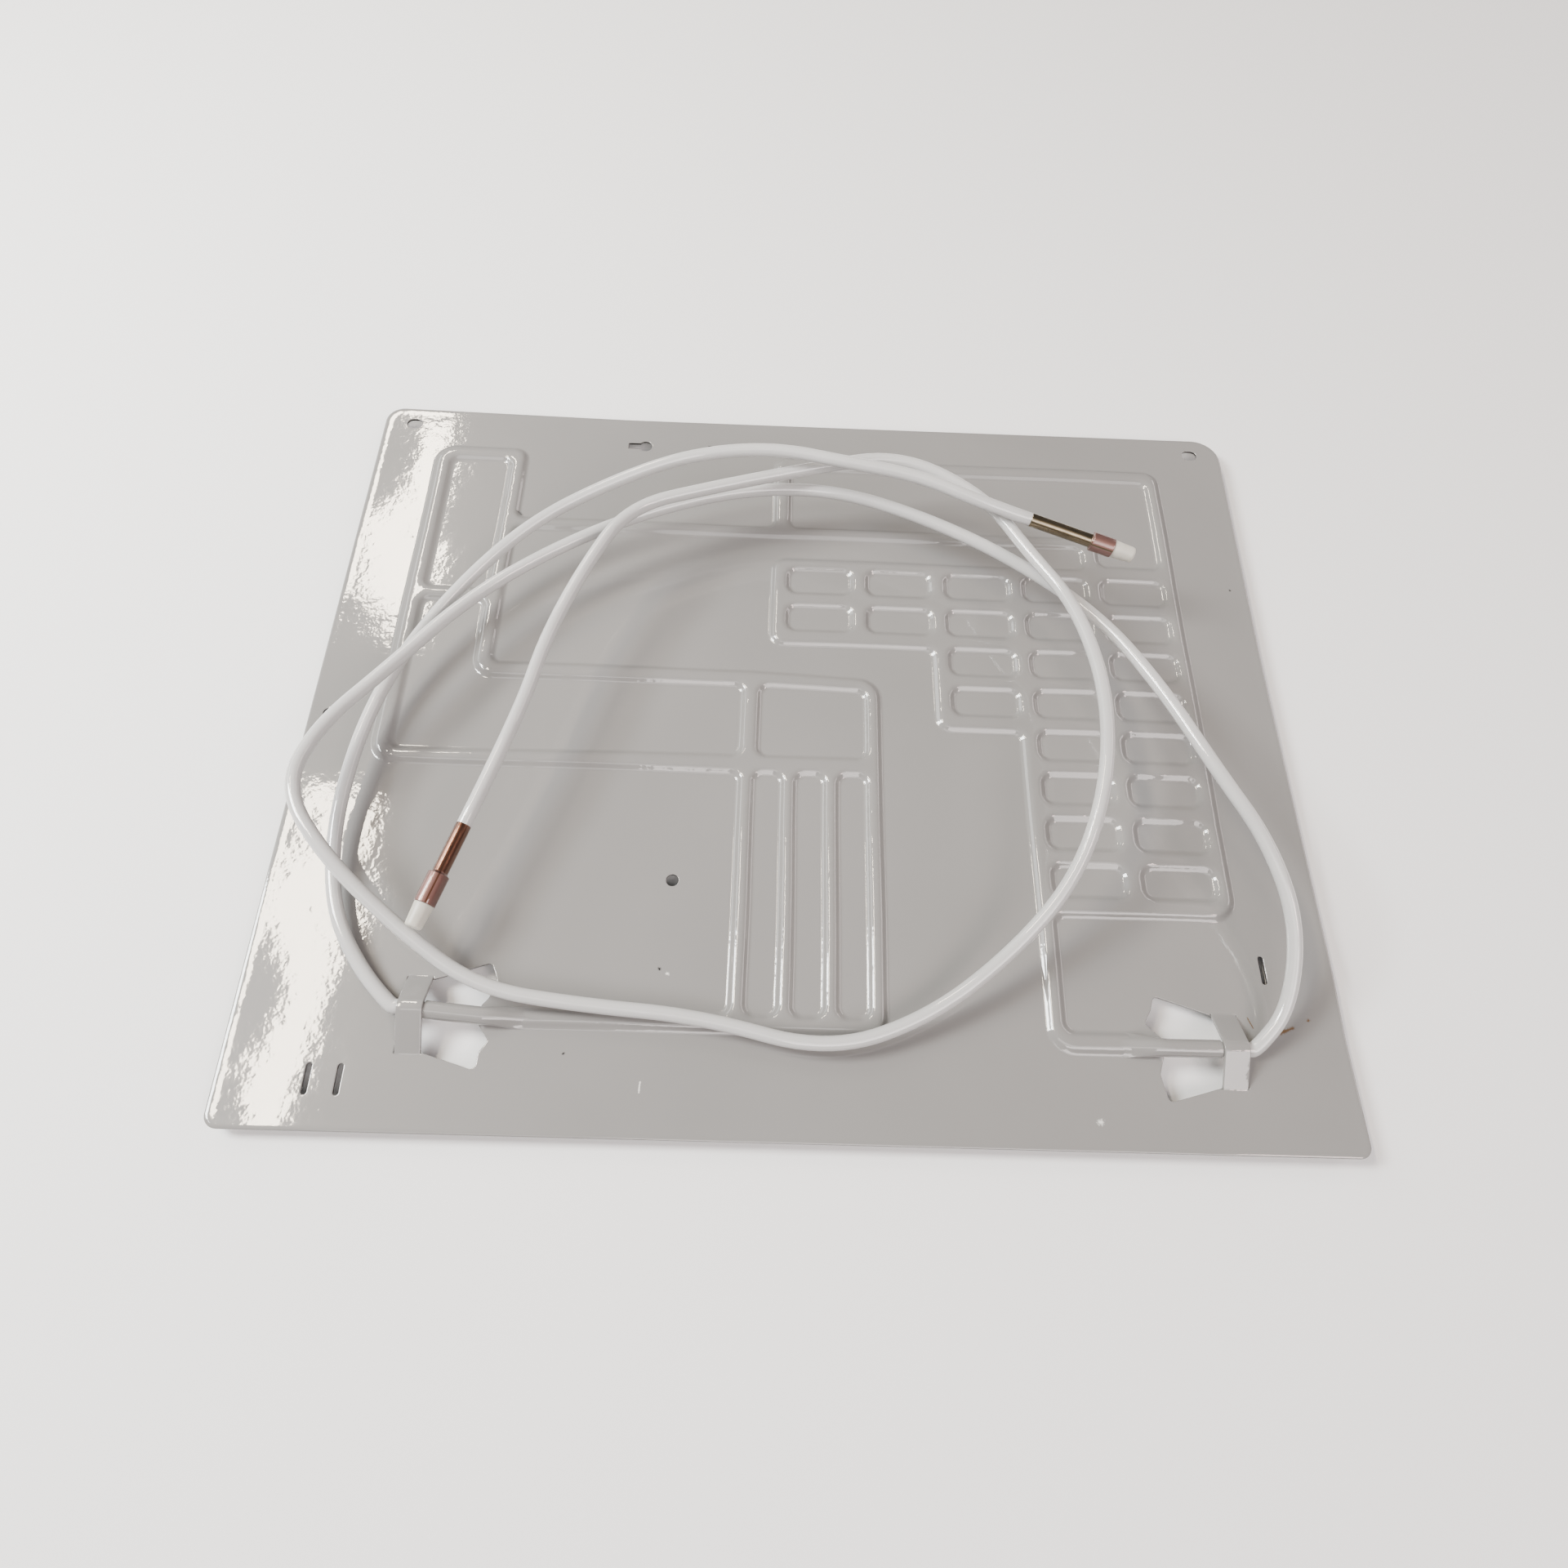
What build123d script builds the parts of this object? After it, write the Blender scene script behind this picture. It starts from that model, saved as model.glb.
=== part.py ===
"""Roll bond evaporator of a small refrigerator, with its two aluminium tubes and their copper ends.

Two thin aluminium sheets are bonded into one plate. Where they are not bonded, the front one has
been blown up into flat passages, and its back stays flat. At two windows a passage ends in a round
nozzle. A tube goes into each nozzle, under a strap that is lanced out of the plate and bent over it.
The inlet tube goes once round half a loop, and the outlet tube makes a full loop over it. Both tubes
end in a copper tube with a swaged socket, closed by a plastic transport plug.

The origin is the middle of the plate on its flat back, +X along the plate, +Y across it, +Z up from
the back through the passages. All lengths are millimetres.
"""

from build123d import *
from math import atan2, cos, degrees, radians, tan
import os

# The plate
plate_length = 449.5
plate_width = 370.0
plate_thickness = 1.4
plate_corner_radii = (5.5, 5.0, 14.0, 9.0)
top_edge_dip = 1.8
top_edge_dip_x = -95.0
top_edge_bow = 4000.0

# The raised passages
passage_rise = 2.2
passage_slope = 2.6
passage_floor = 0.7
cavity_inset = 0.35
main_width = 11.3
branch_width = 10.0
tight_corner = 2.9
swept_corner = 8.5
wide_corner = 12.0
tight_flat_count = 1
round_flat_count = 3

# Centre lines of the passages, left to right and then bottom to top
header_x = -189.0
arm_x = -150.5
riser_x = -23.7
upper_x = -11.5
right_run_y = -143.5
left_run_y = -140.0
cross_low_y = -24.2
cross_high_y = 22.2
divider_y = 64.7
ladder_top_y = 89.7
link_y = 109.7
loop_top_y = 154.6
upper_top_y = 155.5
cross_high_fall = 3.2
cross_low_gape = 2.2

# The fingers between the riser and the run that feeds it
finger_count = 3
finger_width = 9.5
finger_pitch = 19.0
finger_right = 28.0

# The ladder of bonded cells at the right
cell_length = 27.8
cell_width = 10.6
cell_pitch_x = 39.2
cell_pitch_y = 22.0
cell_columns = 5
cell_rows = 8
first_column_of_row = (0, 0, 2, 2, 3, 3, 3, 3)
ladder_margin = 12.0
corner_island_low = 97.0

# The two tubes
tube_outer = 6.0
tube_wall = 1.0
nozzle_fit = 0.05
nozzle_wall = 0.6
nozzle_lift = 0.95
nozzle_length = 24.0
nozzle_blend = 12.0
nozzle_grip = 10.0
throat_gap = 0.2
first_bend_radius = 13.0
bend_share = 0.45
facet_turn = 20.0
bore_sides = 8
tube_axis_z = nozzle_lift + nozzle_wall + nozzle_fit + tube_outer / 2

# The routes of the tubes, from inside the nozzle to the end of the white paint
inlet_route = [
    (-137.5, -139.4, tube_axis_z), (-161.5, -137.5, tube_axis_z), (-175.5, -123.5, 6.5),
    (-189, -103, 9), (-196, -76, 10), (-197, -45, 12), (-192.5, -10, 14), (-181, 23, 16.5),
    (-159, 57.5, 22), (-131, 88, 28), (-96, 107.5, 35), (-58, 120.5, 42.5), (-18, 121.5, 48.5),
    (19, 111, 51.5), (52, 104.5, 51.5), (79, 91.5, 50.5), (102.3, 85.5, 47),
]
outlet_route = [
    (159.5, -145.3, tube_axis_z), (184.5, -144.9, tube_axis_z), (197.5, -129.5, 12), (199.5, -98.5, 27),
    (188.5, -67.5, 37), (172.5, -37.5, 38.5), (155.5, 3, 37), (135, 44, 31), (97, 78.5, 28),
    (56, 101, 28), (14, 115.5, 28), (-30, 114, 28), (-75, 98.5, 28), (-116, 75, 28),
    (-153, 43.5, 28.5), (-181, 3.5, 30.5), (-204, -28, 32.5), (-210.5, -57.5, 34), (-188, -86.5, 31),
    (-158, -111, 19), (-127, -131, 11), (-86, -136, 9), (-38, -139, 8), (12, -151.5, 8),
    (53, -137, 10), (88, -110, 19), (112, -82, 31), (124, -46, 43), (127.5, -3, 46),
    (119.5, 42, 43), (102, 71, 41), (84, 104.5, 40), (44, 130, 39), (0, 119, 38), (-46, 104, 39),
    (-84, 90, 39.5), (-101, 55, 38), (-114, 18, 36), (-121, -20, 33.5), (-137.2, -69.2, 29.5),
]

# The windows at the nozzles and the straps over the tubes
left_root_x = -122.0
right_root_x = 147.0
left_window = [
    (-148, -154.5, 0.5), (-125.6, -161, 2), (-125.2, -154, 3), (-122, -149.5, 2), (-126.5, -143.5, 1),
    (-126.5, -135.5, 1), (-124.2, -132.5, 3), (-121.8, -125.2, 3), (-125, -118, 2), (-148, -125.9, 0.5),
]
right_window = [
    (147.5, -166, 2), (170, -159.5, 0.5), (170, -130.9, 0.5), (146.8, -123.6, 2), (145, -129.5, 3),
    (141.7, -135, 2), (147.5, -140.8, 1), (147.5, -148.5, 1), (145.5, -155, 3),
]
strap_width = 10.2
left_strap = (-157.7, -155.3, -124.5)
right_strap = (169.7, -160.0, -130.5)
strap_gauge = 1.4
strap_clearance = 0.35
strap_fold = 0.35
lance_gap = 0.3

# Holes and slots through the plate
corner_hole_length = 8.0
corner_hole_width = 6.2
corner_hole_margin = 16.05
corner_hole_middle_x = -0.4
corner_hole_drop = 10.8
middle_hole_diameter = 5.3
middle_hole_at = (-54.1, -79.7)
edge_hole_diameter = 5.0
edge_hole_at = (-216.0, -4.0)
keyhole_width = 6.6
keyhole_neck = 4.0
keyhole_reach = 9.0
keyhole_drop = 20.2
keyhole_xs = (-85.3, -43.2, -18.0)
slot_width = 2.2
slot_length = 12.0
slots_at = ((-189.4, -165.7), (-177.2, -165.7), (194.7, -111.3))

# The copper ends and their plugs
copper_outer = 6.35
copper_wall = 0.8
socket_wall = 0.7
swage_lag = 0.35
inlet_stub = 29.5
inlet_socket_outer = 8.9
inlet_socket_length = 10.7
inlet_shoulder = 0.0
outlet_stub = 21.4
outlet_socket_outer = 8.7
outlet_socket_length = 13.5
outlet_shoulder = 0.85
plug_head_outer = 7.9
plug_head_length = 11.3
plug_depth = 8.0
plug_draft = 0.2
plug_fit = 0.05

# Worked out from the values above
face_z = plate_thickness
corner_hole_span = plate_length - 2 * corner_hole_margin
corner_hole_y = plate_width / 2 - corner_hole_drop
keyhole_y = plate_width / 2 - keyhole_drop


def shifted(corners, inset):
    """Moves each side of a closed outline with sharp corners inwards."""
    moved = []
    for index, (x, y, _) in enumerate(corners):
        last, following = corners[index - 1], corners[(index + 1) % len(corners)]
        into = Vector(x - last[0], y - last[1]).normalized()
        out_of = Vector(following[0] - x, following[1] - y).normalized()
        normals = Vector(-into.Y - out_of.Y, into.X + out_of.X)
        step = normals * (inset / (1 + into.dot(out_of)))
        moved.append((x + step.X, y + step.Y, 0))
    return moved


def flattened(corners):
    """The same outline with each round drawn as flats that touch it, to save facets."""
    drawn = []
    for index, (x, y, radius) in enumerate(corners):
        if not radius:
            drawn.append((x, y, 0))
            continue
        corner, last, following = Vector(x, y), corners[index - 1], corners[(index + 1) % len(corners)]
        into = (corner - Vector(*last[:2])).normalized()
        out_of = (Vector(*following[:2]) - corner).normalized()
        turn = atan2(into.X * out_of.Y - into.Y * out_of.X, into.dot(out_of))
        count = 1 + (tight_flat_count if radius < swept_corner else round_flat_count)
        start = corner - into * radius * tan(abs(turn) / 2)
        centre = corner + (out_of - into).normalized() * (radius / cos(turn / 2))
        for step in range(count):
            arm = (start - centre).rotate(Axis.Z, degrees(turn) * (step + 0.5) / count)
            point = centre + arm / cos(turn / 2 / count)
            drawn.append((point.X, point.Y, 0))
    return drawn


def outline(corners):
    """Face inside a closed outline of (x, y, corner radius)."""
    points, radii = [(x, y) for x, y, _ in corners], [radius for _, _, radius in corners]
    return make_face(FilletPolyline(*points, radius=radii, close=True))


def leaning(corners, low_z, foot_inset, crown_inset):
    """Solid as high as the passages, whose flat sides lean from one shifted outline to another."""
    foot, crown = [
        [Vector(x, y, z) for x, y, _ in shifted(corners, inset)]
        for z, inset in ((low_z, foot_inset), (low_z + passage_rise, crown_inset))
    ]
    rims = zip(foot, foot[1:] + foot[:1], crown[1:] + crown[:1], crown)
    return Solid(Shell([Face(Wire.make_polygon(rim)) for rim in (foot, crown, *rims)]))


def rectangle(left, low, right, high, radius=tight_corner):
    """Corners of an upright rectangle, counter-clockwise."""
    return [(left, low, radius), (right, low, radius), (right, high, radius), (left, high, radius)]


def cell_corner(column, row):
    """Left and top foot lines of one cell of the ladder."""
    left = upper_x + main_width / 2 + column * cell_pitch_x
    top = ladder_top_y - branch_width / 2 - row * cell_pitch_y
    return left, top


def network_outline():
    """The one outer boundary of all passages, counter-clockwise from the header's lower end."""
    main, branch = main_width / 2, branch_width / 2
    step_left = [cell_corner(first, 0)[0] - main_width for first in (0, 2, 3)]
    step_low = [cell_corner(0, row)[1] - cell_width - ladder_margin for row in (1, 3, 7)]
    link_left, ladder_right = cell_corner(3, 0)[0] + cell_length, cell_corner(4, 0)[0] + cell_length
    run_right = finger_right + branch_width
    return [
        (header_x - main, cross_low_y - branch, wide_corner),
        (riser_x - main, cross_low_y - branch, tight_corner),
        (riser_x - main, left_run_y + branch, tight_corner),
        (left_root_x, left_run_y + branch, 0),
        (left_root_x, left_run_y - branch, 0),
        (run_right, left_run_y - branch, swept_corner),
        (run_right, cross_high_y + main - cross_high_fall, wide_corner),
        (riser_x, cross_high_y + main, wide_corner),
        (arm_x + main, cross_high_y + main, tight_corner),
        (arm_x + main, link_y - branch, tight_corner),
        (link_left, link_y - branch, tight_corner),
        (link_left, ladder_top_y + branch, tight_corner),
        (step_left[0], ladder_top_y + branch, swept_corner),
        (step_left[0], step_low[0], swept_corner),
        (step_left[1], step_low[0], tight_corner),
        (step_left[1], step_low[1], swept_corner),
        (step_left[2], step_low[1], tight_corner),
        (step_left[2], right_run_y - main, wide_corner),
        (right_root_x, right_run_y - main, 0),
        (right_root_x, right_run_y + main, 0),
        (step_left[2] + branch_width, right_run_y + main, tight_corner),
        (step_left[2] + branch_width, step_low[2], tight_corner),
        (ladder_right + branch_width, step_low[2], wide_corner),
        (ladder_right + branch_width, upper_top_y + main, swept_corner),
        (upper_x - main, upper_top_y + main, swept_corner),
        (upper_x - main, link_y + branch, tight_corner),
        (arm_x + main, link_y + branch, tight_corner),
        (arm_x + main, loop_top_y + main, swept_corner),
        (header_x - main, loop_top_y + main, wide_corner),
    ]


def islands():
    """Bonded areas inside the network, each counter-clockwise."""
    main, branch = main_width / 2, branch_width / 2
    header_right, arm_left = header_x + main, arm_x - main
    riser_left, riser_right = riser_x - main, riser_x + main
    low_top, high_low = cross_low_y + branch, cross_high_y - main
    ladder_right, upper_left = cell_corner(4, 0)[0] + cell_length, upper_x + main
    found = [
        rectangle(header_right, divider_y + branch, arm_left, loop_top_y - main),
        [
            (header_right, low_top, tight_corner),
            (riser_left, low_top + cross_low_gape, tight_corner),
            (riser_left, high_low, tight_corner),
            (arm_left, high_low, wide_corner),
            (arm_left, divider_y - branch, tight_corner),
            (header_right, divider_y - branch, tight_corner),
        ],
        [
            (riser_right, low_top + cross_low_gape, tight_corner),
            (finger_right, low_top + cross_low_gape, tight_corner),
            (finger_right, high_low - cross_high_fall / 2, tight_corner),
            (riser_right, high_low, tight_corner),
        ],
        [
            (cell_corner(4, 0)[0], corner_island_low, tight_corner),
            (ladder_right, corner_island_low, tight_corner),
            (ladder_right, upper_top_y - main, tight_corner),
            (upper_left, upper_top_y - main, tight_corner),
            (upper_left, link_y + branch, tight_corner),
            (cell_corner(4, 0)[0], link_y + branch, tight_corner),
        ],
    ]
    for finger in range(finger_count):
        right = finger_right - finger * finger_pitch
        low, high = left_run_y + branch, cross_low_y - branch
        found.append(rectangle(right - finger_width, low, right, high))
    for row in range(cell_rows):
        for column in range(first_column_of_row[row], cell_columns):
            left, top = cell_corner(column, row)
            found.append(rectangle(left, top - cell_width, left + cell_length, top))
    return found


def passages(low_z, inset, border, bonded):
    """All passages as one solid, standing the inset inside their foot lines."""
    pits = [leaning(island, low_z, -inset, -inset - passage_slope) for island in bonded]
    return leaning(border, low_z, inset, inset + passage_slope) - pits


def sharpened(corners):
    """The same outline with sharp corners, as the hidden cavity has them."""
    return [(x, y, 0) for x, y, _ in corners]


def nozzle(route, run_y, inset):
    """Round nozzle on the tube's first run, blended into the passage behind it."""
    start, towards = Vector(*route[0]), Vector(*route[1])
    along = (towards - start).normalized()
    mouth = start + along * nozzle_grip
    root = mouth - along * nozzle_length
    sideways = along.cross(Vector(0, 0, 1))
    outer = tube_outer / 2 + nozzle_fit + nozzle_wall
    throat_height = (face_z + passage_rise) / 2
    throat = root - along * nozzle_blend
    throat = Vector(throat.X, run_y, throat_height)
    round_face = Plane(root, x_dir=sideways, z_dir=along) * Circle(outer - inset)
    flat_face = Plane(throat, x_dir=sideways, z_dir=along) * Ellipse(
        branch_width / 2 - throat_gap - inset, throat_height - throat_gap - inset
    )
    return loft([flat_face, round_face]) + extrude(round_face, nozzle_length, dir=along)


def strap(place, route):
    """Strap lanced out of the plate, bent over the tube's first run, with its ends in the plate."""
    left, near, far = place
    (x0, y0, _), (x1, y1, _) = route[0], route[1]
    axis_y = y0 + (left + strap_width / 2 - x0) * (y1 - y0) / (x1 - x0)
    under = tube_outer / 2 + strap_clearance
    crest = CenterArc((axis_y, tube_axis_z), under + strap_gauge, 0, 180)
    hollow = CenterArc((axis_y, tube_axis_z), under, 0, 180)
    upper = make_hull(crest.edges() + Line((near, face_z), (far, face_z)).edges())
    lower = make_hull(hollow.edges() + Line((near + strap_fold, 0), (far - strap_fold, 0)).edges())
    base = Pos((near + far) / 2, face_z / 2) * Rectangle(far - near, face_z)
    section = Plane((left, 0, 0), x_dir=(0, 1, 0), z_dir=(1, 0, 0)) * (upper + base - lower)
    return extrude(section, strap_width)


def strap_opening(place, lance_side):
    """Opening that the strap leaves in the plate, with the lancing gap on the side away from the window."""
    left, near, far = place
    centre_x = left + strap_width / 2 + lance_side * lance_gap / 2
    return Pos(centre_x, (near + far) / 2) * Rectangle(strap_width + lance_gap, far - near)


def keyhole(centre_x):
    """Hole with a wide end at the right and a narrower neck to the left."""
    wide = Pos(centre_x, keyhole_y) * Circle(keyhole_width / 2)
    neck = Pos(centre_x - keyhole_reach / 2, keyhole_y) * Rectangle(keyhole_reach, keyhole_neck)
    return wide + neck


def cut_outs():
    """Everything that is punched through the plate, as one drawing."""
    shapes = [
        outline(left_window),
        outline(right_window),
        strap_opening(left_strap, -1),
        strap_opening(right_strap, 1),
        Pos(*middle_hole_at) * Circle(middle_hole_diameter / 2),
        Pos(*edge_hole_at) * Circle(edge_hole_diameter / 2),
    ]
    for side in (-1, 1):
        at = Pos(corner_hole_middle_x + side * corner_hole_span / 2, corner_hole_y)
        shapes.append(at * SlotOverall(corner_hole_length, corner_hole_width))
    shapes += [keyhole(x) for x in keyhole_xs]
    shapes += [Pos(*at) * SlotOverall(slot_length, slot_width, rotation=90) for at in slots_at]
    return shapes


def evaporator_plate():
    """The bonded plate: outline, passages with their cavity, nozzles, straps, windows and holes."""
    right, high = plate_length / 2, plate_width / 2
    low_left, low_right, high_right, high_left = plate_corner_radii
    border = outline([
        (-right, -high, low_left),
        (right, -high, low_right),
        (right, high, high_right),
        (top_edge_dip_x, high - top_edge_dip, top_edge_bow),
        (-right, high, high_left),
    ])
    formed = [flattened(island) for island in islands()]
    plate = extrude(border, face_z) + passages(face_z, 0, flattened(network_outline()), formed)
    plate -= [extrude(shape, face_z) for shape in cut_outs()]
    runs = ((inlet_route, left_run_y), (outlet_route, right_run_y))
    plate += [nozzle(route, run_y, 0) for route, run_y in runs]
    plate += [strap(left_strap, inlet_route), strap(right_strap, outlet_route)]
    bonded = [sharpened(island) for island in islands()]
    cavity = passages(passage_floor, cavity_inset, sharpened(network_outline()), bonded)
    return plate - [cavity] - [nozzle(route, run_y, nozzle_wall) for route, run_y in runs]


def bend_radii(route):
    """Radius of each bend of a tube: tight beside the strap, then as large as its two runs allow."""
    points = [Vector(*point) for point in route]
    radii = []
    for before, corner, after in zip(points, points[1:], points[2:]):
        half_turn = (corner - before).get_angle(after - corner) / 2
        shorter = min((corner - before).length, (after - corner).length)
        radii.append(bend_share * shorter / tan(radians(half_turn)))
    return [min(first_bend_radius, radii[0])] + radii[1:]


def mitre_points(route):
    """Corners of the tube: each bend is shared among equal mitres that stay tangent to its arc."""
    path = FilletPolyline(*route, radius=bend_radii(route))
    points = [path @ 0]
    for edge in path.wire().order_edges():
        if edge.geom_type == GeomType.CIRCLE:
            turn = edge.length / edge.radius
            count = max(1, round(degrees(turn) / facet_turn))
            for step in range(count):
                outward = edge @ ((step + 0.5) / count) - edge.arc_center
                points.append(edge.arc_center + outward / cos(turn / 2 / count))
    return points + [path @ 1]


def bent_tube(route):
    """Hollow aluminium tube along a route; its hidden bore is drawn with flats, to save facets."""
    path = Polyline(*mitre_points(route))
    ring = Circle(tube_outer / 2) - RegularPolygon(tube_outer / 2 - tube_wall, bore_sides)
    return sweep(Plane(path @ 0, z_dir=path % 0) * ring, path=path, transition=Transition.RIGHT)


def end_plane(route):
    """Plane at the end of a tube's white paint, facing on along its last run."""
    last, end = Vector(*route[-2]), Vector(*route[-1])
    return Plane(end, z_dir=end - last)


def turned(corners):
    """Solid of revolution about the local Z axis from (radius, height) corners."""
    section = make_face(Polyline(*[(radius, 0, height) for radius, height in corners], close=True))
    return revolve(section, Axis.Z)


def copper_end(route, stub, socket_outer, socket_length, shoulder):
    """Copper tube that is joined to the aluminium one, swaged out to a socket at its far end."""
    outside, inside = copper_outer / 2, copper_outer / 2 - copper_wall
    socket, bore = socket_outer / 2, socket_outer / 2 - socket_wall
    mouth = stub + socket_length
    profile = [
        (inside, 0), (outside, 0), (outside, stub), (socket, stub + shoulder), (socket, mouth),
        (bore, mouth), (bore, stub + swage_lag), (inside, stub + swage_lag),
    ]
    return end_plane(route) * turned(profile)


def transport_plug(route, stub, socket_outer, socket_length):
    """Plastic plug that is pushed into the socket and stands out of it."""
    stem = socket_outer / 2 - socket_wall - plug_fit
    head = plug_head_outer / 2
    mouth = stub + socket_length
    tip, top = mouth - plug_depth, mouth + plug_head_length
    profile = [
        (0, tip), (stem, tip), (stem, mouth), (head, mouth), (head - plug_draft, top), (0, top),
    ]
    return end_plane(route) * turned(profile)


inlet_end = (inlet_route, inlet_stub, inlet_socket_outer, inlet_socket_length)
outlet_end = (outlet_route, outlet_stub, outlet_socket_outer, outlet_socket_length)
nodes = {
    "evaporator_plate": evaporator_plate(),
    "inlet_tube": bent_tube(inlet_route),
    "inlet_copper_end": copper_end(*inlet_end, inlet_shoulder),
    "inlet_plug": transport_plug(*inlet_end),
    "outlet_tube": bent_tube(outlet_route),
    "outlet_copper_end": copper_end(*outlet_end, outlet_shoulder),
    "outlet_plug": transport_plug(*outlet_end),
}

os.makedirs("parts", exist_ok=True)
for name, solid in nodes.items():
    export_step(solid, f"parts/{name}.step")
for name, route in (("inlet_tube", inlet_route), ("outlet_tube", outlet_route)):
    print(name, "bend radii", [round(radius, 1) for radius in bend_radii(route)])
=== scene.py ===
"""Roll bond evaporator of a small refrigerator, dressed over its CAD frame.

Every piece sits where the CAD has it: the origin is the middle of the plate on its flat back, +X along
the plate, +Y across it, +Z up. Shapes are worked out in millimetres and put into the meshes in metres.
"""

import bmesh
import bpy
import numpy as np
from mathutils import Matrix, Vector
from mathutils.geometry import delaunay_2d_cdt


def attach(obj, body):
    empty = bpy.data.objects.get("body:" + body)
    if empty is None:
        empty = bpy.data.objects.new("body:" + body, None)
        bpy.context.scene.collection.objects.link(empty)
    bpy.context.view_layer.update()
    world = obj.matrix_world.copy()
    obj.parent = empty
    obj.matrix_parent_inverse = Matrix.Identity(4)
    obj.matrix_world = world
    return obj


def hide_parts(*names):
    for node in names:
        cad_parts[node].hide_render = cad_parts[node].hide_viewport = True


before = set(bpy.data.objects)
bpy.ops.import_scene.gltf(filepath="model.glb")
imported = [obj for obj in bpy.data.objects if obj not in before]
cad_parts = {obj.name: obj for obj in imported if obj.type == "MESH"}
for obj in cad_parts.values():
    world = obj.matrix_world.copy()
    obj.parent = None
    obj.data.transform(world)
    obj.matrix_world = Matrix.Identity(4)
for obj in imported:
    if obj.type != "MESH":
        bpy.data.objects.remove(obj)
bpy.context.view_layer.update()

# Camera: it looks down on the plate from over its near edge, as the photograph does, with its place
# and directions in metres.
camera_place = (-0.01709, -0.22879, 0.40587)
camera_right = (0.99918, 0.02154, 0.03437)
camera_up = (-0.03438, 0.89926, 0.43606)
camera_back = (-0.02152, -0.43689, 0.89926)
lens = bpy.data.cameras.new("camera")
lens.sensor_width = 36
lens.lens = 23.025
lens.clip_start = 0.01
camera = bpy.data.objects.new("camera", lens)
camera.matrix_world = Matrix((*zip(camera_right, camera_up, camera_back, camera_place), (0, 0, 0, 1)))
bpy.context.scene.collection.objects.link(camera)
bpy.context.scene.camera = camera

# Plate: two aluminium sheets rolled into one, painted grey. Where they are not bonded, the front sheet
# is blown up into flat passages with soft shoulders; the back sheet stays flat.
millimetre = 0.001
half_x, half_y = 224.75, 185.0
face_z, rise = 1.4, 2.2
# The skin is level this far in from its foot, and the shoulder's own strip ends a little before that.
crown, slope = 4.4, 2.85
# Corner radii of the passages, their half widths, and the lines that their middles follow.
tight, swept, wide = 2.9, 8.5, 12.0
main, branch = 5.65, 5.0
header_x, arm_x, riser_x, upper_x = -189.0, -150.5, -23.7, -11.5
right_run_y, left_run_y, cross_low_y, cross_high_y = -143.5, -140.0, -24.2, 22.2
divider_y, ladder_top_y, link_y, loop_top_y, upper_top_y = 64.7, 89.7, 109.7, 154.6, 155.5
cross_high_fall, cross_low_gape = 3.2, 2.2
left_root_x, right_root_x, root_half, taper_length = -122.5, 145.8, 3.4, 9.0
finger_width, finger_pitch, finger_right, finger_count = 9.5, 19.0, 28.0, 3
cell_length, cell_width, cell_pitch_x, cell_pitch_y = 27.8, 10.6, 39.2, 22.0
first_column_of_row = (0, 0, 2, 2, 3, 3, 3, 3)
column_count = 5
ladder_margin, corner_island_low = 12.0, 97.0


def grid_faces(rows, columns, closed=True):
    """Quads of a grid of points stored row by row; closed also joins the last column to the first."""
    first = np.arange((rows - 1) * columns).reshape(rows - 1, columns)
    beside = np.roll(first, -1, axis=1)
    quads = np.stack([first, beside, beside + columns, first + columns], axis=-1)
    return (quads if closed else quads[:, :-1]).reshape(-1, 4)


def unit(vectors):
    """Vectors divided by their own lengths."""
    return vectors / np.linalg.norm(vectors, axis=-1, keepdims=True)


def rounded(corners, per_corner=9, per_side=6):
    """Points of a closed outline of (x, y, radius) corners.

    Each corner is an arc tangent to its two sides: its centre plus the first radius, turned evenly
    through the corner's angle. Each side is the straight line between two arcs, divided evenly.
    """
    corners = np.array(corners, float)
    at, radius = corners[:, :2], corners[:, 2:]
    into = unit(at - np.roll(at, 1, axis=0))
    out = np.roll(into, -1, axis=0)
    turn = np.arctan2(into[:, 0] * out[:, 1] - into[:, 1] * out[:, 0], (into * out).sum(axis=1))[:, None]
    start = at - into * radius * np.tan(np.abs(turn) / 2)
    centre = start + np.column_stack([-into[:, 1], into[:, 0]]) * radius * np.sign(turn)
    arm = (start - centre)[:, None]
    angle = turn[:, None] * np.linspace(0, 1, per_corner)[None, :, None]
    x = arm[..., :1] * np.cos(angle) - arm[..., 1:] * np.sin(angle)
    y = arm[..., :1] * np.sin(angle) + arm[..., 1:] * np.cos(angle)
    arcs = centre[:, None] + np.concatenate([x, y], axis=-1)
    share = np.linspace(0, 1, per_side + 2)[None, 1:-1, None]
    sides = arcs[:, -1:] * (1 - share) + np.roll(arcs[:, :1], -1, axis=0) * share
    return np.concatenate([arcs, sides], axis=1).reshape(-1, 2)


def moved_in(loop, distance):
    """A loop moved to its left: each point along the sum of its two sides' normals, scaled so that
    both sides move by the distance."""
    ahead = unit(np.roll(loop, -1, axis=0) - loop)
    total = ahead + np.roll(ahead, 1, axis=0)
    normal = np.column_stack([-total[:, 1], total[:, 0]])
    return loop + normal * 2 * distance / (total**2).sum(axis=1, keepdims=True)


def banded(loop, steps):
    """Strip that follows a loop: one ring for each (distance in, height) step, joined ring to ring."""
    rings = [np.column_stack([moved_in(loop, inward), np.full(len(loop), z)]) for inward, z in steps]
    return np.concatenate(rings), grid_faces(len(steps), len(loop))


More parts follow.
